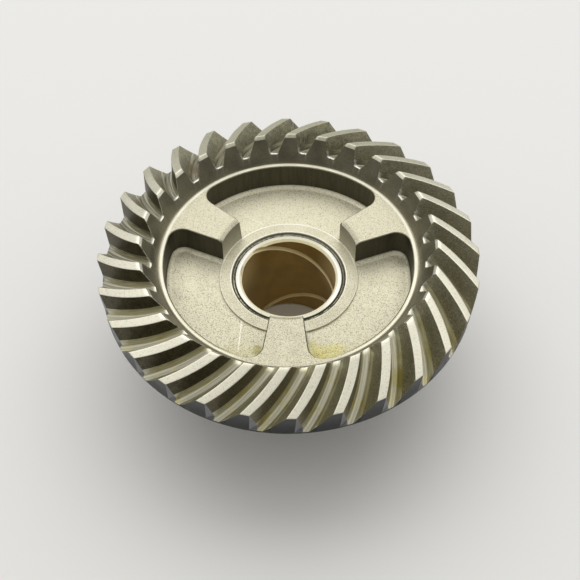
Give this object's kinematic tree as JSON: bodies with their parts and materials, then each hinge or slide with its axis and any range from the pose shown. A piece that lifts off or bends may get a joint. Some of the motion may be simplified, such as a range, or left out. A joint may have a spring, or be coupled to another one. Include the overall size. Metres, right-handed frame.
{
  "type": "spiral bevel gear",
  "caption": "Spiral bevel gear with curved face-cut teeth, a central recess with clutch dogs and a bronze-lined bush in its bore.",
  "frame": {"origin": "centre of the hub's bottom face, on the shaft axis", "axes": "+Z along the shaft axis, out of the toothed side"},
  "size_m": [0.0712, 0.0712, 0.0319],
  "materials": {
    "gear_steel": "blasted and lightly oiled gear steel, bright on the tooth tips, with yellow oil stains in the recess",
    "bush_bronze": "bronze-lined bush, bright chamfered end and brown oiled bore"
  },
  "bodies": {
    "root": {"bevel_gear": "gear_steel", "bore_bush": "bush_bronze"}
  },
  "joints": []
}
